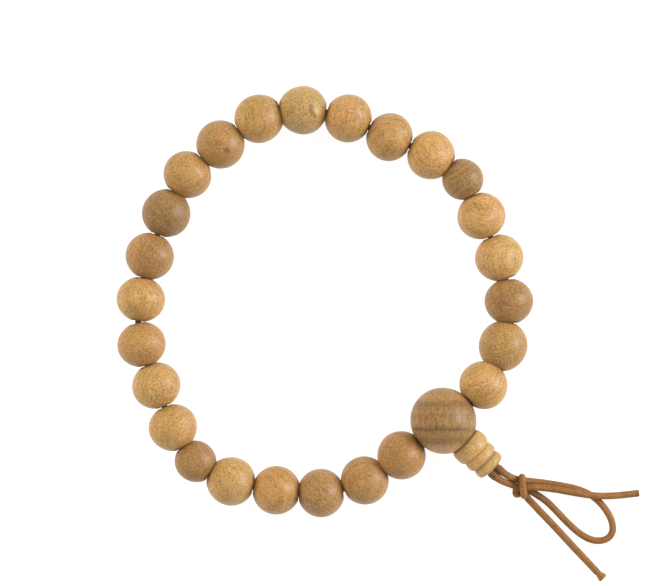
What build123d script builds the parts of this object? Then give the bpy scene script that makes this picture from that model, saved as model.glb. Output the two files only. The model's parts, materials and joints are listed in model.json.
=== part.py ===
from build123d import *
import os
from math import asin, cos, degrees, pi, radians, sin, sqrt, tan

# Wrist mala: wooden beads threaded on one elastic cord and lying on a table.
# Units are millimetres. The origin is the middle of the loop, at table height, +Z is up
# and the guru bead lies towards -Y with its stupa bead and the tied cord ends beyond it.

# Beads. Length is measured along the bore, mouth face to mouth face.
COUNTING_DIAMETER = 8.0
COUNTING_LENGTH = 7.03
MARKER_DIAMETER = 6.8
MARKER_LENGTH = 5.8
GURU_DIAMETER = 11.0
GURU_LENGTH = 10.1
BORE_RADIUS = 0.8
COUNTERSINK = 0.15
MOUTH_RADIUS = BORE_RADIUS + COUNTERSINK
BEAD_GAP = 0.08
OPEN_PIVOT_GAP = 0.3
PIVOT_RADIUS = 1.2

# Loop, counter-clockwise from the guru bead. Each bead has the heading of its bore in degrees,
# how far it sits outside the line of the cord, within the play of its bore, and how much
# longer it is than the others of its kind, because turned beads differ a little.
LOOP = [
    (-5, -0.1, 0.0),
    (2, 0.1, -0.2), (30, -0.1, 0.2), (49, 0.1, -0.2), (66, 0.1, 0.2), (67, -0.1, 0.1),
    (81, 0.1, 0.0),
    (110, 0.0, 0.0), (111, -0.1, 0.2), (113, 0.1, 0.2), (133, -0.1, 0.1), (162, 0.1, 0.2),
    (173, -0.1, 0.2), (185, 0.1, -0.2), (204, -0.1, 0.2), (207, 0.1, 0.2), (217, -0.1, -0.2),
    (238, 0.1, -0.2), (248, -0.1, 0.1), (249, 0.1, 0.0),
    (270, 0.1, 0.0),
    (299, 0.1, 0.1), (306, -0.1, 0.2), (320, 0.1, 0.0), (342, 0.1, 0.1), (354, -0.1, 0.1),
]
GURU_PLACE = 0
MARKER_NAMES = {6: "marker_bead_right", 20: "marker_bead_left"}
GURU_CENTRE = Vector(0.03, -27.31, GURU_DIAMETER / 2)
BORE_HEIGHT = COUNTING_DIAMETER / 2

# Elastic cord. The loop is one cord, held by the beads all the way. It is modelled in four
# lengths that meet where the loop flexes, each named for its side of the loop and starting
# with the bead at the given place.
CORD_DIAMETER = 1.05
CORD_EASE = 0.15
CORD_LENGTHS = [("cord_front", 24), ("cord_right", 4), ("cord_back", 10), ("cord_left", 17)]
OPEN_PIVOT_PLACE = 17
RUN_SHARE = 0.45

# Side bore of the guru bead, which leads both ends of the cord out through the stupa bead.
SIDE_BORE_RADIUS = 1.3
SIDE_HEADING = -89
SIDE_DROP = 6

# Stupa bead, turned about the side bore: three rounded rings, each given by the distances of
# its ends from the guru bead's centre, its widest radius, and the radius where it ends.
SEAT_RADIUS = GURU_DIAMETER / 2 + 0.07
SEAT_RIM_RADIUS = 2.6
STUPA_RINGS = [(7.65, 3.02, 2.2), (9.5, 2.75, 1.95), (11.3, 2.58, 1.45)]

# Bow knot: one turn of the cord round the four strands.
KNOT_CENTRE = Vector(1.65, -44.08, 1.9)
KNOT_HEADING = -41
KNOT_RADIUS = 1.3

# Routes of the two cord ends, from inside the guru bead's side bore outwards.
LOOP_STRAND = [
    # down the side bore and the stupa bead
    (0.55, -29.10, 5.32), (0.58, -31.80, 5.04), (0.60, -34.70, 4.74), (0.66, -37.30, 4.46),
    (0.90, -39.35, 4.10), (1.22, -40.95, 3.20),
    # through the knot and out along the table, under the tail strand
    (1.62, -42.15, 2.35), (2.20, -43.25, 1.65), (3.10, -44.50, 1.00), (4.35, -46.05, 0.62),
    (6.00, -48.30, 0.56), (7.50, -50.50, 0.55), (8.40, -52.50, 0.55),
    # round the bow
    (8.76, -54.40, 0.55), (8.62, -56.50, 0.55), (8.15, -58.20, 0.55), (7.42, -59.37, 0.55),
    (6.67, -60.01, 0.55), (5.58, -60.18, 0.55), (4.55, -59.74, 0.55), (3.68, -58.86, 0.55),
    (3.07, -57.64, 0.55), (2.70, -55.90, 0.55),
    # back along the table to the knot, where it folds up and over itself
    (2.60, -53.40, 0.55), (2.70, -50.90, 0.55), (2.68, -48.60, 0.56), (2.28, -46.65, 0.60),
    (1.46, -44.95, 0.63), (0.20, -43.40, 0.68), (-0.45, -43.95, 2.60),
    # the long straight tail
    (0.60, -45.55, 2.45), (0.82, -47.10, 1.50), (0.74, -48.90, 0.72), (0.70, -51.10, 0.56),
    (0.62, -53.90, 0.55), (0.48, -57.00, 0.55), (0.42, -60.20, 0.55), (0.32, -62.60, 0.55),
    (0.32, -64.40, 0.55),
]
TAIL_STRAND = [
    # down the side bore and the stupa bead, beside the other strand
    (-0.57, -29.10, 5.32), (-0.55, -31.80, 5.04), (-0.52, -34.70, 4.74), (-0.47, -37.30, 4.46),
    (-0.50, -39.40, 4.10), (-0.52, -41.00, 3.25), (0.00, -42.60, 2.45),
    # through the knot, then over the loop strand
    (1.15, -43.95, 2.10), (2.40, -45.10, 2.00), (3.85, -46.70, 1.75), (5.30, -48.60, 1.66),
    (6.80, -50.80, 1.74), (8.20, -52.75, 1.76), (9.60, -54.40, 1.60), (11.20, -55.95, 0.90),
    (12.90, -57.35, 0.56), (14.35, -58.50, 0.55),
]


def direction(heading, rise=0.0):
    """Unit vector at a heading from +X and a rise above the table, both in degrees."""
    level = cos(radians(rise))
    return Vector(level * cos(radians(heading)), level * sin(radians(heading)), sin(radians(rise)))


def outward(axis):
    """Level unit vector to the right of a bore's direction, which is away from the loop."""
    return axis.cross(Vector(0, 0, 1)).normalized()


def bead_length(place):
    """Mouth-to-mouth length of the bead at a place in the loop."""
    extra = LOOP[place][2]
    if place == GURU_PLACE:
        return GURU_LENGTH + extra
    return (MARKER_LENGTH if place in MARKER_NAMES else COUNTING_LENGTH) + extra


def bead_diameter(place):
    """Widest diameter of the bead at a place in the loop."""
    if place == GURU_PLACE:
        return GURU_DIAMETER
    return MARKER_DIAMETER if place in MARKER_NAMES else COUNTING_DIAMETER


def bead_names():
    """Name of each bead, in loop order. Counting beads are numbered from the guru bead."""
    names = []
    number = 0
    for place in range(len(LOOP)):
        if place == GURU_PLACE:
            names.append("guru_bead")
        elif place in MARKER_NAMES:
            names.append(MARKER_NAMES[place])
        else:
            number += 1
            names.append(f"counting_bead_{number:02d}")
    return names


def bore_directions():
    """Direction of each bore. The guru bead's neighbours tilt up to its higher bore."""
    climb = GURU_DIAMETER / 2 - BORE_HEIGHT
    tilt = degrees(asin(climb / COUNTING_LENGTH))
    rises = {1: -tilt, len(LOOP) - 1: tilt}
    return [direction(row[0], rises.get(place, 0.0)) for place, row in enumerate(LOOP)]


def corner_distance(place, turn, following):
    """Distance along the cord from a bead's middle to its corner in front of a following bead.

    The beads touch on the inner side of the loop: at the rims of their mouths where the cord
    turns little, and further out on their shoulders where it turns more."""
    half = bead_length(place) / 2
    rise = bead_diameter(place) / 2 - MOUTH_RADIUS
    shoulder_radius = (half**2 + rise**2) / (2 * rise)
    shoulder_centre = bead_diameter(place) / 2 - shoulder_radius
    lean = radians(turn) / 2
    if shoulder_centre + shoulder_radius * sin(lean) > MOUTH_RADIUS:
        touch = shoulder_radius / cos(lean) + shoulder_centre * tan(lean)
    else:
        touch = half + MOUTH_RADIUS * tan(lean)
    gap = OPEN_PIVOT_GAP if following == OPEN_PIVOT_PLACE else BEAD_GAP
    return touch - LOOP[place][1] * tan(lean) + gap / 2


def lay_out_loop():
    """Corners of the cord, one before each bead, and the place and bore direction of each bead.

    What the loop lacks of closing, under 0.3 mm, is shared out along it, and the corners are
    levelled: the guru bead's two lie at its own height and the rest at the other beads'."""
    axes = bore_directions()
    count = len(axes)
    turns = [axes[i].get_angle(axes[(i + 1) % count]) for i in range(count)]
    before = [corner_distance(i, turns[i - 1], i) for i in range(count)]
    after = [corner_distance(i, turns[i], i + 1) for i in range(count)]
    raw = [GURU_CENTRE - axes[0] * before[0] - outward(axes[0]) * LOOP[GURU_PLACE][1]]
    for i in range(count):
        raw.append(raw[-1] + axes[i] * (before[i] + after[i]))
    miss = raw[-1] - raw[0]
    corners = []
    for i in range(count):
        point = raw[i] - miss * (i / count)
        height = GURU_CENTRE.Z if i in (GURU_PLACE, GURU_PLACE + 1) else BORE_HEIGHT
        corners.append(Vector(point.X, point.Y, height))
    centres = []
    directions = []
    for i in range(count):
        along = (corners[(i + 1) % count] - corners[i]).normalized()
        directions.append(along)
        centres.append(corners[i] + along * before[i] + outward(along) * LOOP[i][1])
    return corners, centres, directions


def pivot_before(place, corners, directions):
    """Point where the bead at a place rocks on the one before it, at the height of the bores."""
    inward = (outward(directions[place - 1]) + outward(directions[place])).normalized() * -1
    return corners[place] + inward * PIVOT_RADIUS


def bore_frame(centre, axis):
    """Location whose X axis runs along a bore."""
    return Location(Plane(origin=centre, x_dir=axis, z_dir=outward(axis)))


def turned_bead(diameter, length):
    """Bead with its bore along X: a slightly flattened ball with countersunk mouths."""
    half = length / 2
    with BuildPart() as bead:
        with BuildSketch(Plane.XY):
            with BuildLine():
                ThreePointArc((-half, MOUTH_RADIUS), (0, diameter / 2), (half, MOUTH_RADIUS))
                Polyline(
                    (half, MOUTH_RADIUS),
                    (half - COUNTERSINK, BORE_RADIUS),
                    (COUNTERSINK - half, BORE_RADIUS),
                    (-half, MOUTH_RADIUS),
                )
            make_face()
        revolve(axis=Axis.X)
    return bead.part


def guru_bead():
    """Large bead with a third hole, from the middle of its bore out to the stupa bead."""
    side_axis = direction(SIDE_HEADING, -SIDE_DROP)
    body = bore_frame(GURU_CENTRE, direction(LOOP[GURU_PLACE][0])) * turned_bead(
        GURU_DIAMETER, GURU_LENGTH
    )
    reach = GURU_DIAMETER
    middle = GURU_CENTRE + side_axis * (reach / 2)
    side_bore = Location(Plane(origin=middle, z_dir=side_axis)) * Cylinder(SIDE_BORE_RADIUS, reach)
    return body - side_bore


def stupa_bead():
    """Three-ringed bead on the side bore, dished to sit on the guru bead."""
    rim_distance = sqrt(SEAT_RADIUS**2 - SEAT_RIM_RADIUS**2)
    bore_distance = sqrt(SEAT_RADIUS**2 - SIDE_BORE_RADIUS**2)
    dish_radius = (SEAT_RIM_RADIUS + SIDE_BORE_RADIUS) / 2
    dish_distance = sqrt(SEAT_RADIUS**2 - dish_radius**2)
    tip_distance = STUPA_RINGS[-1][0]
    with BuildPart() as bead:
        with BuildSketch(Plane.XY):
            with BuildLine():
                start = (rim_distance, SEAT_RIM_RADIUS)
                for end_distance, widest, end_radius in STUPA_RINGS:
                    end = (end_distance, end_radius)
                    middle = ((start[0] + end_distance) / 2, widest)
                    ThreePointArc(start, middle, end)
                    start = end
                Polyline(
                    (tip_distance, STUPA_RINGS[-1][2]),
                    (tip_distance, SIDE_BORE_RADIUS),
                    (bore_distance, SIDE_BORE_RADIUS),
                )
                ThreePointArc(
                    (bore_distance, SIDE_BORE_RADIUS),
                    (dish_distance, dish_radius),
                    (rim_distance, SEAT_RIM_RADIUS),
                )
            make_face()
        revolve(axis=Axis.X)
    return bore_frame(GURU_CENTRE, direction(SIDE_HEADING, -SIDE_DROP)) * bead.part


def bend_radii(points, ease=None):
    """Radius of the arc at each corner of a cord's route.

    Each is as large as its two runs allow, or as large as a given play lets the arc pass inside
    its corner."""
    radii = []
    for before, here, after in zip(points, points[1:], points[2:]):
        run_in = here - before
        run_out = after - here
        half_turn = radians(run_in.get_angle(run_out)) / 2
        radius = RUN_SHARE * min(run_in.length, run_out.length) / tan(half_turn)
        if ease is not None:
            radius = min(radius, ease / (1 / cos(half_turn) - 1))
        radii.append(radius)
    return radii


def cord(name, points, ease=None):
    """Tube along straight runs joined by tangent arcs."""
    route = [Vector(point) for point in points]
    radii = bend_radii(route, ease)
    path = FilletPolyline(*route, radius=radii)
    section = Plane(origin=path @ 0, z_dir=path % 0) * Circle(CORD_DIAMETER / 2)
    solid = sweep(section, path=path)
    expected = pi * CORD_DIAMETER**2 / 4 * path.length
    print(f"{name}: {path.length:.1f} mm, volume {solid.volume / expected:.3f} of section x length")
    print("  radii", [round(radius, 1) for radius in radii])
    return solid


def loop_cord(name, first, last, corners, directions):
    """Length of the loop's cord through the beads from first to last.

    Its ends lie flush with the outer mouths of its end beads."""
    count = len(corners)
    places = range(first, last + 1 if last > first else last + count + 1)
    inner = [corners[place % count] for place in places[1:]]
    turn_in = directions[first - 1].get_angle(directions[first])
    turn_out = directions[last].get_angle(directions[(last + 1) % count])
    trim_in = corner_distance(first, turn_in, first) - bead_length(first) / 2
    trim_out = corner_distance(last, turn_out, last + 1) - bead_length(last) / 2
    start = corners[first] + directions[first] * trim_in
    end = corners[(last + 1) % count] - directions[last] * trim_out
    return cord(name, [start, *inner, end], ease=CORD_EASE)


def bow_knot():
    """Turn of cord that ties the four strands together."""
    place = Location(Plane(origin=KNOT_CENTRE, z_dir=direction(KNOT_HEADING)))
    return place * Torus(KNOT_RADIUS, CORD_DIAMETER / 2)


def make_parts():
    """Every piece of the mala by name."""
    corners, centres, directions = lay_out_loop()
    parts = {"guru_bead": guru_bead(), "stupa_bead": stupa_bead()}
    shapes = {}
    for place, name in enumerate(bead_names()):
        if place == GURU_PLACE:
            continue
        size = (bead_diameter(place), bead_length(place))
        if size not in shapes:
            shapes[size] = turned_bead(*size)
        parts[name] = bore_frame(centres[place], directions[place]) * shapes[size]
    firsts = [first for _, first in CORD_LENGTHS]
    for index, (name, first) in enumerate(CORD_LENGTHS):
        last = firsts[(index + 1) % len(firsts)] - 1
        parts[name] = loop_cord(name, first, last, corners, directions)
    parts["strand_loop"] = cord("strand_loop", LOOP_STRAND)
    parts["strand_tail"] = cord("strand_tail", TAIL_STRAND)
    parts["bow_knot"] = bow_knot()
    return parts


if __name__ == "__main__":
    os.makedirs("parts", exist_ok=True)
    loop_corners, _, loop_directions = lay_out_loop()
    for cord_name, first_place in CORD_LENGTHS:
        pivot = pivot_before(first_place, loop_corners, loop_directions)
        print(f"{cord_name} rocks about {pivot.X:.3f}, {pivot.Y:.3f}, {pivot.Z:.3f}")
    for node, solid in make_parts().items():
        export_step(solid, f"parts/{node}.step")
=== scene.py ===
import json
from math import asin, atan2, cos, exp, pi, radians, sin, sqrt, tau
from random import Random

import bpy
from mathutils import Matrix, Vector, noise

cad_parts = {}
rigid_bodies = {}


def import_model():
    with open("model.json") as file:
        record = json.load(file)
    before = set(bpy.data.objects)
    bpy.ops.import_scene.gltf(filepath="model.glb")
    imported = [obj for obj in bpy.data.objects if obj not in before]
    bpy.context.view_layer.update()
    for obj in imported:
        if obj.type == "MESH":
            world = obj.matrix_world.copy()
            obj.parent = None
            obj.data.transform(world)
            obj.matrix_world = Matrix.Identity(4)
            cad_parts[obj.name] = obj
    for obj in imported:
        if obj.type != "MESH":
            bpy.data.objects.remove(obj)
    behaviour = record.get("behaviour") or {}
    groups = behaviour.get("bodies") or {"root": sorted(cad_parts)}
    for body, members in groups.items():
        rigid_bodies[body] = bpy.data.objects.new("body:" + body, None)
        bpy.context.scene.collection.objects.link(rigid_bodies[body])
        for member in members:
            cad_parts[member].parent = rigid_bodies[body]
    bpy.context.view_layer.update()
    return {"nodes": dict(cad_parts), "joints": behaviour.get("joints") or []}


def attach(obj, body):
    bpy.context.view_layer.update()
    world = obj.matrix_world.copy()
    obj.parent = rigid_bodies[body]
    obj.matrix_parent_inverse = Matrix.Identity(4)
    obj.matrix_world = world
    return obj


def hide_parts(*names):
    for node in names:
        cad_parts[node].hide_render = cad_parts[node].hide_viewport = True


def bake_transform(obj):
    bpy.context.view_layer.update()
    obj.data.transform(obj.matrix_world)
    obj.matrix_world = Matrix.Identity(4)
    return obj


# Wrist mala: wooden beads on a braided elastic cord, lying on a table, with a three-hole guru
# bead, a ringed stupa bead beyond it and the two cord ends tied in a bow. Lengths in metres.
MM = 0.001

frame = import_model()
joints = {joint["name"]: joint for joint in frame["joints"]}

# Camera, straight above, turned so that the tassel points to the lower right.
VIEW_TURN = radians(-45)
VIEW_CENTRE = Vector((1.134, 1.134, 4.0)) * MM
VIEW_WIDTH = 106.35 * MM
VIEW_DISTANCE = 1.4
SENSOR_WIDTH = 36.0

# Cord: the routes of its two free strands in mm, and its sizes.
CORD_RADIUS = 0.59 * MM
RING_CORD_RADIUS = 0.525 * MM
LOOP_STRAND = [
    # down the side bore and the stupa bead
    (0.55, -29.10, 5.32), (0.58, -31.80, 5.04), (0.60, -34.70, 4.74), (0.66, -37.30, 4.46),
    (0.82, -39.35, 4.10), (1.10, -41.04, 3.20),
    # through the knot and out along the table, under the tail strand
    (1.52, -42.25, 2.35), (2.16, -43.28, 1.65), (3.10, -44.50, 1.00), (4.35, -46.05, 0.62),
    (6.00, -48.30, 0.56), (7.50, -50.50, 0.55), (8.40, -52.50, 0.55),
    # round the bow
    (8.76, -54.40, 0.55), (8.62, -56.50, 0.55), (8.15, -58.20, 0.55), (7.42, -59.37, 0.55),
    (6.67, -60.01, 0.55), (5.58, -60.18, 0.55), (4.55, -59.74, 0.55), (3.68, -58.86, 0.55),
    (3.07, -57.64, 0.55), (2.70, -55.90, 0.55),
    # back along the table, under the bundle and up in a small fold beside it
    (2.60, -53.40, 0.55), (2.70, -50.90, 0.55), (2.68, -48.60, 0.56), (2.28, -46.65, 0.60),
    (1.90, -45.30, 0.62), (1.30, -43.70, 0.90), (0.55, -43.74, 2.00), (-0.02, -44.18, 2.25),
    (0.02, -44.50, 1.20), (0.72, -44.65, 0.62),
    # over the bundle, down its other side and back beneath it
    (0.74, -45.42, 1.40), (0.74, -45.36, 2.75), (1.14, -44.80, 3.45), (2.10, -43.56, 3.50),
    (2.58, -43.02, 2.90), (2.66, -43.04, 1.15), (2.33, -43.61, 0.60), (1.29, -44.96, 0.60),
    # the long straight tail
    (0.80, -46.10, 0.57), (0.80, -47.30, 0.57), (0.74, -48.90, 0.56), (0.70, -51.10, 0.56),
    (0.62, -53.90, 0.55), (0.48, -57.00, 0.55), (0.42, -60.20, 0.55), (0.32, -62.60, 0.60),
    (0.32, -64.30, 0.72),
]
TAIL_STRAND = [
    # down the side bore and the stupa bead, beside the other strand
    (-0.57, -29.10, 5.32), (-0.55, -31.80, 5.04), (-0.52, -34.70, 4.74), (-0.47, -37.30, 4.46),
    (-0.44, -39.40, 4.10), (-0.26, -40.86, 3.25), (0.36, -42.34, 2.50),
    # through the knot, then over the loop strand
    (1.15, -43.95, 2.10), (2.40, -45.10, 2.00), (3.85, -46.70, 1.75), (5.30, -48.60, 1.66),
    (6.80, -50.80, 1.74), (8.20, -52.75, 1.76), (9.60, -54.40, 1.60), (11.20, -55.95, 0.90),
    (12.90, -57.35, 0.56), (14.35, -58.50, 0.55),
]
SPLINE_STEPS = 40
STRAND_POINTS = 32
RING_CORD_POINTS = 20
TABLE_CLEARANCE = 0.01 * MM

# Braid of the cord: columns of slanted stitches. Reliefs are shares of the cord's radius.
BRAID_COLUMNS = 6
BRAID_PITCH = 0.38 * MM
BRAID_SLANT = 0.55
BRAID_RELIEF = 0.045
STITCH_EDGE_HEIGHT = 0.35
COLUMN_RELIEF = 0.03

# Collar, where a strand leaves the stupa bead crumpled, painted darker there as shade, and painted
# shade on the cord in the beads, which shows in the gaps between them.
COLLAR_DISTANCE = 10.35 * MM
COLLAR_WIDTH = 0.95 * MM
COLLAR_FOLD = 0.7 * MM
COLLAR_SWELL = 0.20
COLLAR_FOLD_SWELL = 0.14
COLLAR_SHADE = 0.55
RING_CORD_SHADE = 0.8

# The clean cut end: singed dark, its edge just rounded.
SINGE = 0.8
SINGE_LENGTH = 0.35 * MM
CUT_ROUNDING = 0.12
CUT_ROUNDING_LENGTH = 0.06 * MM

# The melted end: an uneven knob with a neck behind it.
KNOB_DISTANCE = 0.25 * MM
KNOB_WIDTH = 0.50 * MM
KNOB_SWELL = 0.14
KNOB_LOBES = 0.26
KNOB_ROUNDING = 0.3
KNOB_ROUNDING_LENGTH = 0.05 * MM
NECK_DISTANCE = 1.25 * MM
NECK_WIDTH = 0.35 * MM
NECK_DEPTH = 0.10
PALE_DISTANCE = 0.2 * MM
PALENESS = 0.25

# Cord across the loop's pivots: how far its stub reaches into the next bead at the open pivot.
STUB = 1.0 * MM

# Beads, in loop order from the guru bead: how light each is and how yellow, which is its
# ratio of green to red.
LOOP_ORDER = (
    ["guru"] + [f"bead_{n:02d}" for n in range(1, 6)] + ["marker_bead_right"]
    + [f"bead_{n:02d}" for n in range(6, 19)] + ["marker_bead_left"]
    + [f"bead_{n:02d}" for n in range(19, 24)]
)
BEAD_TONES = [
    (0.64, 0.774),
    (0.79, 0.787), (0.73, 0.784), (0.67, 0.762), (0.80, 0.797), (0.80, 0.790),
    (0.64, 0.778),
    (0.80, 0.785), (0.75, 0.775), (0.77, 0.782), (0.75, 0.828), (0.76, 0.785), (0.70, 0.765),
    (0.74, 0.771), (0.62, 0.774), (0.69, 0.763), (0.78, 0.790), (0.75, 0.768), (0.80, 0.795),
    (0.79, 0.787),
    (0.66, 0.763),
    (0.78, 0.800), (0.76, 0.760), (0.69, 0.773), (0.71, 0.769), (0.71, 0.757),
]
STUPA_TONE = (0.82, 0.815)

# Turned beads: steps round and along, and sizes of the bore and its rounded lip.
TURN_SEGMENTS = 96
SHOULDER_STEPS = 28
BORE_RADIUS = 0.8 * MM
MOUTH_RADIUS = 1.0 * MM
LIP_LENGTH = 0.05 * MM
LIP_DEPTH = 0.20 * MM
LIP_STEPS = 6
# A mouth stands proud of the CAD's by up to a fullness, and leaves a gap to its neighbour.
SEEN_GAP = 0.09 * MM
END_FULLNESS = 0.50 * MM
PIVOT_FULLNESS = 0.16 * MM
# Turned wood is never quite round; the bias keeps it mostly inside the CAD's outline.
UNEVENNESS = 0.03 * MM
UNEVEN_WAVE = 3.2 * MM
UNEVEN_BIAS = 0.6

# Guru bead's side bore, and the stupa bead that sits on it: the far end, widest radius and
# end radius of its three rings in mm, measured along the side bore from the guru's middle.
SIDE_BORE_RADIUS = 1.3 * MM
SIDE_BORE_LENGTH = 8.0 * MM
CUTTER_TIP_RADIUS = 0.0001 * MM
SEAT_RADIUS = 5.57 * MM
SEAT_RIM_RADIUS = 2.6 * MM
SEAT_STEPS = 8
STUPA_RINGS = [(7.65, 3.02, 2.55), (9.5, 2.75, 2.34), (11.3, 2.58, 1.45)]
STUPA_RING_STEPS = 28
STUPA_RING_POWER = 2.1
STUPA_MOUTH_EDGE = 0.05 * MM
STUPA_MOUTH_DEPTH = 0.5 * MM
STUPA_MOUTH_STEPS = 5
STUPA_BORE_STEPS = 4
GROOVE_FLOOR = 0.24 * MM


# ---------------------------------------------------------------- helpers

def link(obj):
    bpy.context.scene.collection.objects.link(obj)
    return obj


def new_mesh(name, points, faces):
    """Smooth-shaded mesh object."""
    mesh = bpy.data.meshes.new(name)
    mesh.from_pydata([tuple(point) for point in points], [], faces)
    mesh.validate()
    mesh.update()
    mesh.polygons.foreach_set("use_smooth", [True] * len(mesh.polygons))
    return link(bpy.data.objects.new(name, mesh))


def linear(value):
    """Linear light of an sRGB value from 0 to 1."""
    return value / 12.92 if value <= 0.04045 else ((value + 0.055) / 1.055) ** 2.4


def colour(red, green, blue):
    return (linear(red), linear(green), linear(blue), 1.0)


def wave(turns):
    """Wave from 0 to 1 that repeats with each whole turn."""
    return 0.5 + 0.5 * cos(tau * turns)


def hump(distance, centre, width):
    """Smooth hump of height 1 about a centre."""
    return exp(-((distance - centre) / width) ** 2)


# ---------------------------------------------------------------- camera

def add_camera():
    data = bpy.data.cameras.new("camera")
    data.sensor_width = SENSOR_WIDTH
    data.lens = SENSOR_WIDTH * VIEW_DISTANCE / VIEW_WIDTH
    data.clip_start = 0.01
    data.clip_end = 20
    camera = link(bpy.data.objects.new("camera", data))
    camera.location = VIEW_CENTRE + Vector((0, 0, VIEW_DISTANCE))
    camera.rotation_euler = (0, 0, VIEW_TURN)
    bpy.context.scene.camera = camera


add_camera()


# ---------------------------------------------------------------- cords

def spline_points(name, points):
    """Points of the smooth NURBS line that has the given control points."""
    curve = bpy.data.curves.new(name, "CURVE")
    curve.dimensions = "3D"
    curve.resolution_u = SPLINE_STEPS
    spline = curve.splines.new("NURBS")
    spline.points.add(len(points) - 1)
    for point, place in zip(spline.points, points):
        point.co = (*place, 1.0)
    spline.order_u = 3
    spline.use_endpoint_u = True
    holder = link(bpy.data.objects.new(name, curve))
    mesh = bpy.data.meshes.new_from_object(holder)
    line = [vertex.co.copy() for vertex in mesh.vertices]
    bpy.data.meshes.remove(mesh)
    bpy.data.objects.remove(holder)
    bpy.data.curves.remove(curve)
    return line


def distances_along(line):
    total = 0.0
    result = [0.0]
    for here, there in zip(line, line[1:]):
        total += (there - here).length
        result.append(total)
    return result


def ring_frames(line):
    """Two directions across the line at each point, carried along it without twist."""
    frames = []
    across = None
    for index in range(len(line)):
        tangent = (line[min(index + 1, len(line) - 1)] - line[max(index - 1, 0)]).normalized()
        if across is None:
            across = tangent.orthogonal().normalized()
        across = (across - tangent * across.dot(tangent)).normalized()
        frames.append((across.copy(), tangent.cross(across)))
    return frames


def braid(turn, distance):
    """Height of the braid's relief, 0 to 1, and how near to its column's edge, 0 to 1."""
    edge = abs(2 * (turn * BRAID_COLUMNS % 1.0) - 1)
    stitch = wave(distance / BRAID_PITCH + BRAID_SLANT * edge)
    crown = STITCH_EDGE_HEIGHT + (1 - STITCH_EDGE_HEIGHT) * (1 - edge ** 2.5)
    return stitch * crown, edge


def braided_tube(name, line, radius, swell, points):
    """Closed tube with the relief of a braided cord, which it also keeps as an attribute, less the
    darkening from swell; the material paints shade by it.

    swell gives, for a place on the cord, how much wider it is and how much darker: painted shade,
    and at the cut end singeing.
    """
    along = distances_along(line)
    places = []
    relief = []
    for here, distance, (first, second) in zip(line, along, ring_frames(line)):
        for index in range(points):
            turn = index / points
            height, edge = braid(turn, distance)
            wider, dark = swell(distance, along[-1], turn)
            scale = wider * (1 + BRAID_RELIEF * (height - 1) - COLUMN_RELIEF * edge ** 4)
            offset = first * cos(tau * turn) + second * sin(tau * turn)
            point = here + offset * radius * scale
            point.z = max(point.z, TABLE_CLEARANCE)
            places.append(point)
            # The braid's height less the darkening from swell; the material paints the cord darker
            # where it is low, as shade.
            relief.append(height - dark)
    faces = []
    for ring in range(len(line) - 1):
        for index in range(points):
            following = (index + 1) % points
            a, b = ring * points, (ring + 1) * points
            faces.append((a + index, a + following, b + following, b + index))
    for ring, flip in ((0, True), (len(line) - 1, False)):
        places.append(line[ring])
        relief.append(0.0)
        middle = len(places) - 1
        for index in range(points):
            side = (ring * points + index, ring * points + (index + 1) % points)
            faces.append((*(reversed(side) if flip else side), middle))
    piece = new_mesh(name, places, faces)
    attribute = piece.data.attributes.new("relief", "FLOAT", "POINT")
    attribute.data.foreach_set("value", relief)
    return piece


def strand(name, line, swell):
    """One of the two free strands."""
    return braided_tube(name, line, CORD_RADIUS, swell, STRAND_POINTS)


def ring_cord(name, line):
    """A length of the cord that the loop's beads are on."""
    return braided_tube(name, line, RING_CORD_RADIUS, in_beads, RING_CORD_POINTS)


def metres(route):
    """Control points in metres, none so low that the cord would sink into the table."""
    return [Vector((x * MM, y * MM, max(z * MM, CORD_RADIUS))) for x, y, z in route]


def in_beads(distance, length, turn):
    """Cord inside the beads: even, and painted darker as shade, for it shows only in the shaded
    gaps between beads.
    """
    return 1.0, RING_CORD_SHADE


def collar(distance, turn):
    """Swelling, and painted shade, where a strand leaves the stupa bead, crumpled against its rim.
    """
    near = hump(distance, COLLAR_DISTANCE, COLLAR_WIDTH)
    folds = wave(3 * turn + distance / COLLAR_FOLD)
    # the darkening is painted shade at the mouth of the bore
    return 1 + near * (COLLAR_SWELL + COLLAR_FOLD_SWELL * folds), COLLAR_SHADE * near


def cut_end(distance, length, turn):
    """Strand with the clean cut end."""
    left = length - distance
    wider, dark = collar(distance, turn)
    edge = CUT_ROUNDING * exp(-left / CUT_ROUNDING_LENGTH)
    return wider - edge, dark + SINGE * exp(-left / SINGE_LENGTH)


def melted_end(distance, length, turn):
    """Strand with the melted end."""
    left = length - distance
    wider, dark = collar(distance, turn)
    lobes = wave(2 * turn + 0.1) + 0.25 * cos(tau * (5 * turn + 0.4))
    knob = (KNOB_SWELL + KNOB_LOBES * lobes) * hump(left, KNOB_DISTANCE, KNOB_WIDTH)
    neck = NECK_DEPTH * hump(left, NECK_DISTANCE, NECK_WIDTH)
    edge = KNOB_ROUNDING * exp(-left / KNOB_ROUNDING_LENGTH)
    return wider + knob - neck - edge, dark - PALENESS * hump(left, PALE_DISTANCE, KNOB_WIDTH)


loop_line = spline_points("loop_route", metres(LOOP_STRAND))
tail_line = spline_points("tail_route", metres(TAIL_STRAND))
strand_loop = strand("loop_strand", loop_line, melted_end)
strand_tail = strand("tail_strand", tail_line, cut_end)
cord_pieces = [strand_loop, strand_tail]


# ---------------------------------------------------------------- beads' places

def reach(node, centre, axis):
    """How far a CAD node reaches backwards and forwards along an axis, and out from it."""
    back = ahead = out = 0.0
    for vertex in frame["nodes"][node].data.vertices:
        offset = vertex.co - centre
        distance = offset.dot(axis)
        back = min(back, distance)
        ahead = max(ahead, distance)
        out = max(out, (offset - axis * distance).length)
    return back, ahead, out


def placed(centre, axis):
    """World matrix of a piece turned about its own X axis, which runs along its bore."""
    across = Vector((0, 0, 1)).cross(axis).normalized()
    up = axis.cross(across)
    matrix = Matrix((axis, across, up)).transposed().to_4x4()
    matrix.translation = centre
    return matrix


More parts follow.
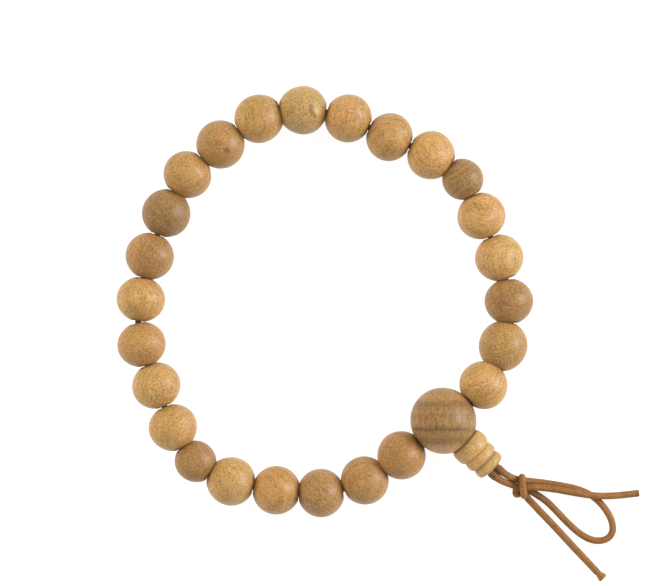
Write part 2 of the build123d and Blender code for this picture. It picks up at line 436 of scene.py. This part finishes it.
def bead_place(body):
    """CAD node, cord body, centre, bore direction, half length and radius of a bead."""
    if body == "guru":
        joint = joints["guru_swing"]
        node = "guru_bead"
        axis = -Vector(joint["axis"]).normalized()
    else:
        joint = joints[body + "_spin"]
        node = body if body.startswith("marker") else "counting_" + body
        axis = Vector(joint["axis"]).normalized()
    centre = Vector(joint["pos_m"])
    back, ahead, out = reach(node, centre, axis)
    return {
        "body": body, "node": node, "cord": joint["parent"], "centre": centre, "axis": axis,
        "half": (ahead - back) / 2, "radius": out,
    }


def mouth(bead, sign):
    """Middle of a CAD bead's mouth, ahead of the bead or behind it in the loop."""
    return bead["centre"] + bead["axis"] * (sign * bead["half"])


def corner(bead, following):
    """Where the cord bends between two beads."""
    return (mouth(bead, 1) + mouth(following, -1)) / 2


beads = [bead_place(body) for body in LOOP_ORDER]
guru = beads[0]
side_axis = Vector(joints["stupa_spin"]["axis"]).normalized()


# ---------------------------------------------------------------- cord through the beads

def cord_arcs():
    """The beads in loop order, in one list for each body of the cord that carries them."""
    count = len(beads)
    start = next(i for i in range(count) if beads[i]["cord"] != beads[i - 1]["cord"])
    arcs = []
    for bead in beads[start:] + beads[:start]:
        if not arcs or arcs[-1][-1]["cord"] != bead["cord"]:
            arcs.append([])
        arcs[-1].append(bead)
    return arcs


def add_arc_cord(arc):
    """Cord through the beads of one body, from the middle of the first to that of the last."""
    body = arc[0]["cord"]
    control = [arc[0]["centre"]]
    for bead, following in zip(arc, arc[1:]):
        control += [corner(bead, following), following["centre"]]
    piece = ring_cord(body + "_braid", spline_points(body, control))
    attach(piece, body)
    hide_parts(body)
    cord_pieces.append(piece)


def add_pivot_cord(bead, following):
    """Cord across a pivot, curved where the beads meet. At a joint it is attached to neither cord;
    at the open pivot it ends in a stub on the first cord.
    """
    middle = corner(bead, following)
    pair = (bead["cord"], following["cord"])
    joined = any({j["parent"], j["child"]} == set(pair) for j in frame["joints"])
    name = f"{pair[0]}_to_{pair[1]}"
    if joined:
        line = spline_points(name, [bead["centre"], middle, following["centre"]])
        piece = ring_cord(name, line)
        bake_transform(piece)
    else:
        end = mouth(following, -1) + following["axis"] * STUB
        line = spline_points(name, [bead["centre"], middle, end])
        piece = ring_cord(name, line)
        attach(piece, pair[0])
    cord_pieces.append(piece)


arcs = cord_arcs()
for arc in arcs:
    add_arc_cord(arc)
for arc, following_arc in zip(arcs, arcs[1:] + arcs[:1]):
    add_pivot_cord(arc[-1], following_arc[0])


# ---------------------------------------------------------------- turned beads

def quadratic(a, b, c, steps):
    """Points after the first on a curve from a to c that leaves towards b."""
    result = []
    for step in range(1, steps + 1):
        t = step / steps
        result.append(tuple(
            (1 - t) ** 2 * p + 2 * t * (1 - t) * q + t * t * r for p, q, r in zip(a, b, c)
        ))
    return result


def turned(name, profile, seed=0, unevenness=0.0, fade=None):
    """Surface turned about X from a closed profile of (distance along X, radius)."""
    random = Random(seed)
    shift = Vector([random.uniform(-50, 50) for _ in range(3)])
    points = []
    for x, radius in profile:
        for index in range(TURN_SEGMENTS):
            angle = tau * index / TURN_SEGMENTS
            y, z = cos(angle), sin(angle)
            extra = 0.0
            if unevenness and fade(x, radius):
                spot = Vector((x, radius * y, radius * z)) / UNEVEN_WAVE + shift
                extra = unevenness * (noise.noise(spot) - UNEVEN_BIAS) * fade(x, radius)
            points.append((x, (radius + extra) * y, (radius + extra) * z))
    faces = []
    rings = len(profile)
    for ring in range(rings):
        a = ring * TURN_SEGMENTS
        b = ((ring + 1) % rings) * TURN_SEGMENTS
        for index in range(TURN_SEGMENTS):
            following = (index + 1) % TURN_SEGMENTS
            faces.append((a + index, b + index, b + following, a + following))
    return new_mesh(name, points, faces)


def shoulder(half, radius):
    """Outline of an ellipse, from beside its widest ring to the mouth."""
    semi_axis = half / sqrt(1 - (MOUTH_RADIUS / radius) ** 2)
    last = asin((half - LIP_LENGTH) / semi_axis)
    points = []
    for step in range(1, SHOULDER_STEPS + 1):
        angle = last * step / SHOULDER_STEPS
        points.append((semi_axis * sin(angle), radius * cos(angle)))
    return points


def half_ball(half, radius):
    """Outline from beside the widest ring over the shoulder and round the lip into the bore."""
    outside = shoulder(half, radius)
    lip = quadratic(
        outside[-1], (half, MOUTH_RADIUS), (half - LIP_DEPTH, BORE_RADIUS), LIP_STEPS,
    )
    return outside + lip + [(half * 0.5, BORE_RADIUS)]


def ball_profile(back, ahead, radius):
    """Ball with rounded lips at its two mouths, which may lie at different distances."""
    far = half_ball(ahead, radius)
    near = [(-x, r) for x, r in half_ball(back, radius)]
    return [(0.0, radius)] + far + [(0.0, BORE_RADIUS)] + near[::-1]


def seen_end(bead, neighbour, sign):
    """Distance from a bead's middle to its mouth, so that it all but meets its neighbour's."""
    middle = (mouth(bead, sign) + mouth(neighbour, -sign)) / 2
    to_corner = (middle - bead["centre"]).dot(bead["axis"]) * sign
    lean = bead["axis"].angle(neighbour["axis"]) / 2
    fullness = END_FULLNESS if bead["cord"] == neighbour["cord"] else PIVOT_FULLNESS
    return min(to_corner + MOUTH_RADIUS * sin(lean) - SEEN_GAP / 2, bead["half"] + fullness)


def make_bead(place, bead):
    """Bead of the loop, whose mouths all but meet its neighbours'."""
    back = seen_end(bead, beads[place - 1], -1)
    ahead = seen_end(bead, beads[(place + 1) % len(beads)], 1)

    def fade(x, radius):
        """Unevenness dies away towards the mouths, and the bore has none."""
        end = ahead if x > 0 else back
        return max(0.0, 1 - (abs(x) / end) ** 6) if radius > BORE_RADIUS * 1.3 else 0.0

    piece = turned(
        bead["node"] + "_turned", ball_profile(back, ahead, bead["radius"]),
        seed=place, unevenness=UNEVENNESS, fade=fade,
    )
    piece.matrix_world = placed(bead["centre"], bead["axis"])
    bead["seen_half"] = (back + ahead) / 2
    return piece


def stupa_profile():
    """Three rings with soft corners and narrow grooves, dished where they sit on the guru."""
    profile = []
    start = (sqrt(SEAT_RADIUS ** 2 - SEAT_RIM_RADIUS ** 2), SEAT_RIM_RADIUS)
    for ring, (end, widest, end_radius) in enumerate(STUPA_RINGS):
        end, widest, end_radius = end * MM, widest * MM, end_radius * MM
        first = start[0] + (GROOVE_FLOOR / 2 if ring else 0.0)
        last = end - (GROOVE_FLOOR / 2 if ring < len(STUPA_RINGS) - 1 else 0.0)
        for step in range(STUPA_RING_STEPS + 1):
            t = 0.5 - 0.5 * cos(pi * step / STUPA_RING_STEPS)
            base = start[1] + (end_radius - start[1]) * t
            bulge = (1 - abs(2 * t - 1) ** STUPA_RING_POWER) ** (1 / STUPA_RING_POWER)
            profile.append((first + (last - first) * t, base + (widest - base) * bulge))
        start = (end, end_radius)
    tip = start[0]
    bore_start = tip - STUPA_MOUTH_DEPTH
    bore_end = sqrt(SEAT_RADIUS ** 2 - SIDE_BORE_RADIUS ** 2)
    profile += quadratic(
        start, (tip + STUPA_MOUTH_EDGE, SIDE_BORE_RADIUS), (bore_start, SIDE_BORE_RADIUS),
        STUPA_MOUTH_STEPS,
    )
    for step in range(1, STUPA_BORE_STEPS + 1):
        x = bore_start + (bore_end - bore_start) * step / STUPA_BORE_STEPS
        profile.append((x, SIDE_BORE_RADIUS))
    for step in range(1, SEAT_STEPS):
        radius = SIDE_BORE_RADIUS + (SEAT_RIM_RADIUS - SIDE_BORE_RADIUS) * step / SEAT_STEPS
        profile.append((sqrt(SEAT_RADIUS ** 2 - radius ** 2), radius))
    return profile


def cut_side_bore(piece):
    """Cuts the guru bead's side bore, from its middle out under the stupa bead."""
    cutter = turned("side_bore_cutter", [
        (0.0, CUTTER_TIP_RADIUS), (0.0, SIDE_BORE_RADIUS),
        (SIDE_BORE_LENGTH, SIDE_BORE_RADIUS), (SIDE_BORE_LENGTH, CUTTER_TIP_RADIUS),
    ])
    cutter.matrix_world = placed(guru["centre"], side_axis)
    modifier = piece.modifiers.new("side_bore", "BOOLEAN")
    modifier.operation = "DIFFERENCE"
    modifier.solver = "EXACT"
    modifier.object = cutter
    bpy.context.view_layer.update()
    graph = bpy.context.evaluated_depsgraph_get()
    mesh = bpy.data.meshes.new_from_object(piece.evaluated_get(graph))
    piece.modifiers.clear()
    piece.data = mesh
    mesh.set_sharp_from_angle(angle=radians(45))
    cutter_mesh = cutter.data
    bpy.data.objects.remove(cutter)
    bpy.data.meshes.remove(cutter_mesh)


bead_pieces = []
for place, bead in enumerate(beads):
    piece = make_bead(place, bead)
    if bead is guru:
        cut_side_bore(piece)
    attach(piece, bead["body"])
    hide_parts(bead["node"])
    bead_pieces.append(piece)

stupa = turned("stupa_turned", stupa_profile())
stupa.matrix_world = placed(guru["centre"], side_axis)
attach(stupa, "stupa")
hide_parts("stupa_bead")


# ---------------------------------------------------------------- the two strands

for piece in (strand_loop, strand_tail):
    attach(piece, "guru")
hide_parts("strand_loop", "bow_knot")
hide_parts("strand_tail")


# ---------------------------------------------------------------- shader nodes

class Nodes:
    """A material, and short ways to add and join its shader nodes."""

    def __init__(self, name):
        self.material = bpy.data.materials.new(name)
        self.material.use_nodes = True
        self.tree = self.material.node_tree
        self.shader = self.tree.nodes["Principled BSDF"]

    def add(self, kind, **values):
        node = self.tree.nodes.new(kind)
        for key, value in values.items():
            setattr(node, key, value)
        return node

    def join(self, source, target):
        self.tree.links.new(source, target)

    def fill(self, socket, value):
        if hasattr(value, "is_output"):
            self.join(value, socket)
        else:
            socket.default_value = value

    def finish(self, **values):
        """Fills sockets of the shader, named with low lines for spaces."""
        for key, value in values.items():
            self.fill(self.shader.inputs[key.replace("_", " ")], value)

    def local(self):
        return self.add("ShaderNodeTexCoord").outputs["Object"]

    def split(self, vector):
        node = self.add("ShaderNodeSeparateXYZ")
        self.join(vector, node.inputs[0])
        return node.outputs

    def math(self, operation, first, second=0.0, third=None, clamp=False):
        node = self.add("ShaderNodeMath", operation=operation, use_clamp=clamp)
        self.fill(node.inputs[0], first)
        self.fill(node.inputs[1], second)
        if third is not None:
            self.fill(node.inputs[2], third)
        return node.outputs[0]

    def times(self, first, second):
        return self.math("MULTIPLY", first, second)

    def swing(self, value, size):
        """A value from 0 to 1 as a swing of the given size about zero."""
        return self.math("MULTIPLY_ADD", value, size, -size / 2)

    def total(self, first, *others):
        """Sum, held between 0 and 1."""
        for other in others:
            first = self.math("ADD", first, other)
        return self.math("ADD", first, 0.0, clamp=True)

    def noise(self, vector, detail=2.0, roughness=0.5):
        node = self.add("ShaderNodeTexNoise")
        self.join(vector, node.inputs["Vector"])
        node.inputs["Scale"].default_value = 1.0
        node.inputs["Detail"].default_value = detail
        node.inputs["Roughness"].default_value = roughness
        return node.outputs["Fac"]

    def spread(self, value, low, high, to_low=0.0, to_high=1.0):
        """Smooth step from one result to another."""
        node = self.add("ShaderNodeMapRange", interpolation_type="SMOOTHSTEP")
        self.fill(node.inputs["Value"], value)
        node.inputs["From Min"].default_value = low
        node.inputs["From Max"].default_value = high
        node.inputs["To Min"].default_value = to_low
        node.inputs["To Max"].default_value = to_high
        return node.outputs["Result"]

    def mapped(self, vector, rotation=(0, 0, 0), scale=(1, 1, 1), location=(0, 0, 0)):
        node = self.add("ShaderNodeMapping")
        self.join(vector, node.inputs["Vector"])
        node.inputs["Rotation"].default_value = rotation
        node.inputs["Scale"].default_value = scale
        node.inputs["Location"].default_value = location
        return node.outputs["Vector"]

    def mix(self, factor, first, second, blend="MIX"):
        node = self.add("ShaderNodeMix", data_type="RGBA", blend_type=blend, clamp_factor=True)
        self.fill(node.inputs["Factor"], factor)
        self.fill(node.inputs[6], first)
        self.fill(node.inputs[7], second)
        return node.outputs[2]

    def ramp(self, value, low, middle, high):
        """Colour that runs from low over middle to high."""
        node = self.add("ShaderNodeValToRGB")
        self.join(value, node.inputs[0])
        elements = node.color_ramp.elements
        elements[0].color = low
        elements[1].color = high
        elements.new(0.5).color = middle
        return node.outputs[0]

    def bump(self, height, strength, distance):
        node = self.add("ShaderNodeBump")
        node.inputs["Strength"].default_value = strength
        node.inputs["Distance"].default_value = distance
        self.join(height, node.inputs["Height"])
        return node.outputs[0]


# ---------------------------------------------------------------- wood

# Base colour as a share of the colour seen, so that the wood as lit here matches the photo.
GAIN = (0.645, 0.610, 0.486)

# Noises of the figure: fineness across and along the grain per metre, detail and roughness.
FINE = (6500, 2800, 2.0, 0.7)
FIBRE = (4200, 700, 2.0, 0.55)
SPECK = (6300, 3200, 1.0, 0.55)
CLOUD = (330, 210, 3.0, 0.6)
TINT = (230, 160, 1.0, 0.55)
WARP = (360, 120, 1.0, 0.55)

# Where the noises turn into specks and patches.
DARK_SPECKS = (0.56, 0.72)
LIGHT_SPECKS = (0.42, 0.28)
PINK_PATCHES = (0.52, 0.66)
YELLOW_PATCHES = (0.48, 0.34)

# How much each part of the figure changes the wood's lightness, and how much lines waver.
FINE_CONTRAST = 3.4
FIBRE_CONTRAST = 0.9
BAND_CONTRAST = 0.44
CLOUD_CONTRAST = 0.75
LIGHT_SPECK_GAIN = 0.20
DARK_SPECK_LOSS = 0.13
BAND_WARP = 9.0
MARK_WAVER = 0.8 * MM
LAYER_WAVER = 1.0 * MM

# Colours, as shares of the wood's own linear colour.
DARK_WOOD = (0.64, 0.51, 0.31)
LIGHT_WOOD = (1.40, 1.43, 1.40)
# The next two are painted shade: at the mouths, where beads meet, and in the stupa bead's grooves.
RIM_SHADE = (0.42, 0.27, 0.15)
GROOVE_SHADE = (0.56, 0.49, 0.32)
PINKER = (1.04, 0.98, 1.02, 1.0)
YELLOWER = (0.98, 1.0, 0.88, 1.0)

# Painted shade: from what share of half the bead's length it darkens the mouths, where beads meet,
# the radius where it is darkest in the stupa bead's grooves and how far it fades out, and how dark
# it gets.
RIM_START = 0.89
STUPA_GROOVE = 2.36 * MM
GROOVE_FADE = 0.22 * MM
RIM_SHADE_AMOUNT = 0.85
GROOVE_SHADE_AMOUNT = 0.55

# Gloss and relief of the surface.
ROUGHNESS = 0.38
FINE_ROUGHNESS = 0.22
SPECK_ROUGHNESS = 0.15
FINE_RELIEF = 0.8
SPECK_RELIEF = 0.8
FIBRE_RELIEF = 0.5
RELIEF_STRENGTH = 0.5
RELIEF_HEIGHT = 0.014 * MM


def tone(shade, yellow):
    """Linear base colour of wood. In the photo blue rises with the ratio of green to red."""
    blue = 0.475 + 1.155 * (yellow - 0.757)
    return tuple(linear(shade * part) * gain for part, gain in zip((1.0, yellow, blue), GAIN))


def scaled(base, factors):
    return tuple(part * factor for part, factor in zip(base, factors)) + (1.0,)


def layered(nodes, along, bands_and_light):
    """Lightness of bands across the grain's Z, given as (height in mm, lightness) in order."""
    low, high = bands_and_light[0][0] * MM, bands_and_light[-1][0] * MM
    place = nodes.add("ShaderNodeMapRange")
    nodes.join(along, place.inputs["Value"])
    place.inputs["From Min"].default_value = low
    place.inputs["From Max"].default_value = high
    ramp = nodes.add("ShaderNodeValToRGB")
    nodes.join(place.outputs["Result"], ramp.inputs[0])
    ramp.color_ramp.interpolation = "EASE"
    elements = ramp.color_ramp.elements
    while len(elements) < len(bands_and_light):
        elements.new(0.5)
    for element, (height, _) in zip(elements, bands_and_light):
        element.position = (height * MM - low) / (high - low)
    for element, (_, lightness) in zip(elements, bands_and_light):
        element.color = (lightness, lightness, lightness, 1.0)
    return ramp.outputs[0]


def marked(nodes, local, warp, marks_and_highlight):
    """Lightness that rings and spots add, given as (centre, radius, width, lightness)."""
    result = []
    for centre, radius, width, lightness in marks_and_highlight:
        away = nodes.add("ShaderNodeVectorMath", operation="DISTANCE")
        nodes.join(local, away.inputs[0])
        away.inputs[1].default_value = tuple(centre)
        distance = nodes.math("ADD", away.outputs["Value"], nodes.swing(warp, MARK_WAVER))
        off_line = nodes.math("ABSOLUTE", nodes.math("SUBTRACT", distance, radius))
        result.append(nodes.spread(off_line, 0.0, width, lightness, 0.0))
    return result


def paint_hollow_shade(nodes, surface, base, local, half, groove):
    """Painted shade in grooves of a given radius, and round the mouths at half the bead's length,
    where beads meet.
    """
    x, y, z = nodes.split(local)
    if groove is not None:
        # painted shade in the stupa bead's grooves
        depth = nodes.math("SQRT", nodes.math("MULTIPLY_ADD", z, z, nodes.times(y, y)))
        painted_shade = nodes.spread(depth, groove, groove + GROOVE_FADE, GROOVE_SHADE_AMOUNT, 0.0)
        surface = nodes.mix(painted_shade, surface, scaled(base, GROOVE_SHADE))
    if half is not None:
        distance = nodes.math("ABSOLUTE", x)
        # painted shade round the mouths, where the beads meet
        painted_shade = nodes.spread(distance, half * RIM_START, half, 0.0, RIM_SHADE_AMOUNT)
        surface = nodes.mix(painted_shade, surface, scaled(base, RIM_SHADE))
    return surface


def wood(name, shade, yellow, grain, seed, bands, fibres=1.0, speckle=1.0, clouds=1.0,
         bands_and_light=None, marks_and_highlight=(), half=None, groove=None):
    """Turned, lightly polished wood. grain turns local coordinates so that Z is the grain."""
    nodes = Nodes(name)
    random = Random(seed)
    shift = tuple(random.uniform(-30, 30) for _ in range(3))
    band_width = random.uniform(0.8, 1.5) * MM
    local = nodes.local()
    to_grain = nodes.mapped(local, rotation=grain)

    def grain_noise(across, along, detail, roughness):
        spot = nodes.mapped(to_grain, scale=(across, across, along), location=shift)
        return nodes.noise(spot, detail, roughness)

    fine, fibre, speck, cloud, tint, warp = (
        grain_noise(*kind) for kind in (FINE, FIBRE, SPECK, CLOUD, TINT, WARP)
    )
    dark_speck = nodes.spread(speck, *DARK_SPECKS)
    light_speck = nodes.spread(speck, *LIGHT_SPECKS)
    grain_x, _, grain_z = nodes.split(to_grain)
    phase = nodes.math("MULTIPLY_ADD", grain_x, tau / band_width, nodes.times(warp, BAND_WARP))
    band = nodes.spread(nodes.math("SINE", phase), -1.0, 1.0)
    lightness = nodes.total(
        0.5,
        nodes.swing(fine, FINE_CONTRAST * speckle),
        nodes.swing(fibre, FIBRE_CONTRAST * fibres),
        nodes.swing(band, BAND_CONTRAST * bands),
        nodes.swing(cloud, CLOUD_CONTRAST * clouds),
        nodes.times(light_speck, LIGHT_SPECK_GAIN),
        nodes.times(dark_speck, -DARK_SPECK_LOSS),
        *marked(nodes, local, warp, marks_and_highlight),
    )

    base = tone(shade, yellow)
    surface = nodes.ramp(
        lightness, scaled(base, DARK_WOOD), scaled(base, (1, 1, 1)), scaled(base, LIGHT_WOOD),
    )
    if bands_and_light is not None:
        # The guru bead's bands, partly painted light at its lower side.
        height = nodes.math("ADD", grain_z, nodes.swing(cloud, LAYER_WAVER))
        surface = nodes.mix(1.0, surface, layered(nodes, height, bands_and_light), blend="MULTIPLY")
    pink = nodes.spread(tint, *PINK_PATCHES)
    surface = nodes.mix(pink, surface, PINKER, blend="MULTIPLY")
    yellowed = nodes.spread(tint, *YELLOW_PATCHES)
    surface = nodes.mix(yellowed, surface, YELLOWER, blend="MULTIPLY")
    # painted shade in the grooves and at the mouths
    surface = paint_hollow_shade(nodes, surface, base, local, half, groove)

    rough = nodes.math("MULTIPLY_ADD", fine, FINE_ROUGHNESS, ROUGHNESS)
    rough = nodes.math("MULTIPLY_ADD", dark_speck, SPECK_ROUGHNESS, rough)
    relief = nodes.math("MULTIPLY_ADD", fine, FINE_RELIEF, nodes.times(fibre, FIBRE_RELIEF))
    relief = nodes.math("MULTIPLY_ADD", dark_speck, -SPECK_RELIEF, relief)
    nodes.finish(
        Base_Color=surface, Roughness=rough, Specular_IOR_Level=0.42,
        Coat_Weight=0.08, Coat_Roughness=0.34,
        Sheen_Weight=0.20, Sheen_Roughness=0.35, Sheen_Tint=(1.0, 0.90, 0.76, 1.0),
        Normal=nodes.bump(relief, RELIEF_STRENGTH, RELIEF_HEIGHT),
    )
    return nodes.material


def grain_turn(piece, heading, rise=0.0, roll=0.0):
    """Rotation from a piece's own axes to grain axes, with the grain along world heading."""
    level = cos(rise)
    grain = Vector((level * cos(heading), level * sin(heading), sin(rise)))
    side = Vector((0, 0, 1)).cross(grain)
    side = side.normalized() if side.length > 1e-6 else Vector((1, 0, 0))
    across = grain.cross(side)
    spun = side * cos(roll) + across * sin(roll)
    other = grain.cross(spun)
    world_to_grain = Matrix((spun, other, grain))
    local_to_world = piece.matrix_world.to_3x3().normalized()
    return (world_to_grain @ local_to_world).to_euler("XYZ")


# Grain of some beads: heading as seen from above with the tassel at the lower right, in degrees
# from the right, then rise from the table. Then how strong the fibres of some beads are. Both
# go by the bead's place in the loop.
GRAIN = {0: (90, 0), 5: (5, 5), 6: (30, 10), 10: (92, 5), 20: (20, 15)}
FIBRES = {0: 1.8, 6: 1.4, 10: 1.3, 20: 1.4}
# Bands of the guru bead, from its lower side in the view to its upper side: height in mm from its
# middle, and lightness. The lightening at the lower side is partly painted light, where the lamps
# leave that side darker.
GURU_BANDS_AND_LIGHT = [
    (-5.5, 1.50), (-4.3, 1.46), (-3.9, 1.25), (-3.4, 0.84), (-2.9, 0.84), (-2.4, 1.04),
    (-1.8, 0.98), (-1.55, 0.74), (-1.35, 0.52), (-1.1, 0.80), (-0.7, 1.02), (0.0, 1.05),
    (0.6, 0.92), (1.0, 0.84), (1.5, 1.0), (2.2, 0.92), (2.7, 0.76), (3.1, 0.82),
    (3.5, 1.15), (4.0, 1.25), (4.6, 1.10), (5.5, 1.05),
]
# Marks: place in the loop, then across and up in mm from the bead's middle as seen, radius and
# width in mm of a ring (radius 0 for a spot), and how much lighter it is, below 0 darker. The light
# spot at place 10 is a painted highlight.
MARKS_AND_HIGHLIGHT = [
    (10, 1.25, 0.70, 0.0, 0.62, -0.70),
    (10, 1.25, 0.20, 0.0, 0.74, -0.90),
    (10, 1.35, -0.30, 0.0, 0.76, -1.00),
    (10, 1.58, -0.80, 0.0, 0.70, -0.95),
    (10, 1.95, -1.20, 0.0, 0.55, -0.60),
    # painted highlight right of the dark ring, where the key lamp shines
    (10, 2.30, -0.30, 0.0, 0.80, 0.80),
    (12, 1.08, -0.89, 0.0, 0.80, -1.30),
    (14, 0.45, -1.30, 0.0, 1.90, -0.35),
    (12, -0.3, 0.2, 0.0, 1.6, -0.22),
    (11, 1.0, -0.3, 0.0, 1.2, 0.18),
    (11, -0.6, -1.0, 1.8, 0.5, -0.14),
    (3, -1.0, 0.0, 0.0, 1.6, -0.25),
    (5, 0.3, 2.6, 1.6, 0.35, -0.16),
    (5, 0.3, 3.2, 3.2, 0.35, -0.14),
    (2, 1.1, -0.8, 0.0, 0.8, -0.12),
    (24, 0.6, 0.4, 0.0, 1.2, -0.15),
]
VIEW_RIGHT = Vector((cos(VIEW_TURN), sin(VIEW_TURN), 0))
VIEW_UP = Vector((-sin(VIEW_TURN), cos(VIEW_TURN), 0))


def bead_marks_and_highlight(place, bead, piece):
    """Marks of one bead, painted highlight included, in its own coordinates, each set on the bead's
    upper surface.
    """
    result = []
    for owner, across, up, radius, width, lightness in MARKS_AND_HIGHLIGHT:
        if owner != place:
            continue
        level = VIEW_RIGHT * (across * MM) + VIEW_UP * (up * MM)
        height = sqrt(max(0.0, bead["radius"] ** 2 - level.length_squared))
        spot = bead["centre"] + level + Vector((0, 0, height))
        local_spot = piece.matrix_world.inverted() @ spot
        result.append((local_spot, radius * MM, width * MM, lightness))
    return result


def bead_wood(place, bead, piece):
    """Wood of a bead of the loop; the guru bead's grain and layers follow the photo."""
    random = Random(1000 + place)
    heading, rise = random.uniform(0, pi), random.uniform(-0.5, 0.5)
    roll = random.uniform(0, pi)
    if place in GRAIN:
        heading, rise = VIEW_TURN + radians(GRAIN[place][0]), radians(GRAIN[place][1])
    if bead is guru:
        roll = 0.0
        own = {"speckle": 0.7, "clouds": 0.5, "bands_and_light": GURU_BANDS_AND_LIGHT}
    else:
        own = {}
    shade, yellow = BEAD_TONES[place]
    return wood(
        bead["node"] + "_wood", shade, yellow, grain_turn(piece, heading, rise, roll),
        seed=place, bands=random.uniform(0.1, 0.5), fibres=FIBRES.get(place, 1.0),
        marks_and_highlight=bead_marks_and_highlight(place, bead, piece), half=bead["seen_half"], **own,
    )


bpy.context.view_layer.update()
for place, (bead, piece) in enumerate(zip(beads, bead_pieces)):
    piece.data.materials.clear()
    piece.data.materials.append(bead_wood(place, bead, piece))

stupa_grain = grain_turn(stupa, atan2(side_axis.y, side_axis.x), asin(side_axis.z), 0.3)
stupa_wood = wood(
    "stupa_wood", *STUPA_TONE, stupa_grain, seed=77, bands=0.1, speckle=0.65, clouds=0.5,
    groove=STUPA_GROOVE,
)
stupa.data.materials.append(stupa_wood)


# ---------------------------------------------------------------- cord's look

CORD_LIGHTNESS = 0.295
# Painted shade: how much darker the cord is where its relief attribute is low, between the stitches
# and where swell darkens it.
CORD_RELIEF_SHADE = 0.34
THREAD_FINENESS = 7000
THREAD_CONTRAST = 0.9
THREAD_RELIEF = 0.02 * MM
PATCH_FINENESS = 900
PATCH_CONTRAST = 0.5
REDDER_PATCHES = (0.50, 0.62)
CORD_DARK = colour(0.27, 0.155, 0.06)
CORD_MIDDLE = colour(0.54, 0.365, 0.175)
CORD_LIGHT = colour(0.70, 0.52, 0.29)
CORD_REDDER = (1.05, 0.94, 0.95, 1.0)


def cord_material():
    """Brown thread, with painted shade between the stitches and where the relief attribute says so.
    """
    nodes = Nodes("braided_cord")
    local = nodes.local()
    relief = nodes.add("ShaderNodeAttribute", attribute_name="relief").outputs["Fac"]
    thread = nodes.noise(nodes.mapped(local, scale=(THREAD_FINENESS,) * 3))
    patch = nodes.noise(nodes.mapped(local, scale=(PATCH_FINENESS,) * 3))
    lightness = nodes.total(
        CORD_LIGHTNESS,
        # painted shade between the stitches and where the relief attribute is darkened
        nodes.times(relief, CORD_RELIEF_SHADE),
        nodes.swing(thread, THREAD_CONTRAST),
        nodes.swing(patch, PATCH_CONTRAST),
    )
    surface = nodes.ramp(lightness, CORD_DARK, CORD_MIDDLE, CORD_LIGHT)
    reddish = nodes.spread(patch, *REDDER_PATCHES)
    surface = nodes.mix(reddish, surface, CORD_REDDER, blend="MULTIPLY")
    nodes.finish(
        Base_Color=surface, Roughness=0.60, Specular_IOR_Level=0.3,
        Normal=nodes.bump(thread, 0.6, THREAD_RELIEF),
    )
    return nodes.material


braided = cord_material()
for piece in cord_pieces:
    piece.data.materials.append(braided)


# ---------------------------------------------------------------- floor and light

FLOOR_HALF = 3.0
WORLD_STRENGTH = 0.75


def add_floor():
    """White floor that glows a little, so that shadows on it are as faint as the photo's."""
    corners = [(x * FLOOR_HALF, y * FLOOR_HALF, 0) for x, y in ((-1, -1), (1, -1), (1, 1), (-1, 1))]
    mesh = bpy.data.meshes.new("floor")
    mesh.from_pydata(corners, [], [(0, 1, 2, 3)])
    floor = link(bpy.data.objects.new("floor", mesh))
    nodes = Nodes("floor_white")
    nodes.finish(
        Base_Color=(0.25, 0.25, 0.25, 1), Roughness=0.9,
        Emission_Color=(1, 1, 1, 1), Emission_Strength=0.86,
    )
    floor.data.materials.append(nodes.material)


def add_light(name, azimuth, elevation, distance, size, power, shines=True):
    """Round lamp that points at the part's origin. shines says if it shows in reflections."""
    data = bpy.data.lights.new(name, "AREA")
    data.shape = "DISK"
    data.size = size
    data.energy = power
    light = link(bpy.data.objects.new(name, data))
    light.visible_glossy = shines
    level = cos(elevation)
    offset = Vector((level * cos(azimuth), level * sin(azimuth), sin(elevation))) * distance
    light.location = offset
    light.rotation_euler = (-offset).to_track_quat("-Z", "Y").to_euler()


def add_world():
    world = bpy.data.worlds.new("world")
    world.use_nodes = True
    background = world.node_tree.nodes["Background"]
    background.inputs["Color"].default_value = (1, 1, 1, 1)
    background.inputs["Strength"].default_value = WORLD_STRENGTH
    bpy.context.scene.world = world


add_floor()
add_light("key", radians(-33), radians(26), distance=0.9, size=0.5, power=8.4)
add_light("fill", radians(105), radians(28), distance=0.9, size=0.6, power=6.4, shines=False)
add_world()
bpy.context.scene.view_settings.view_transform = "Standard"
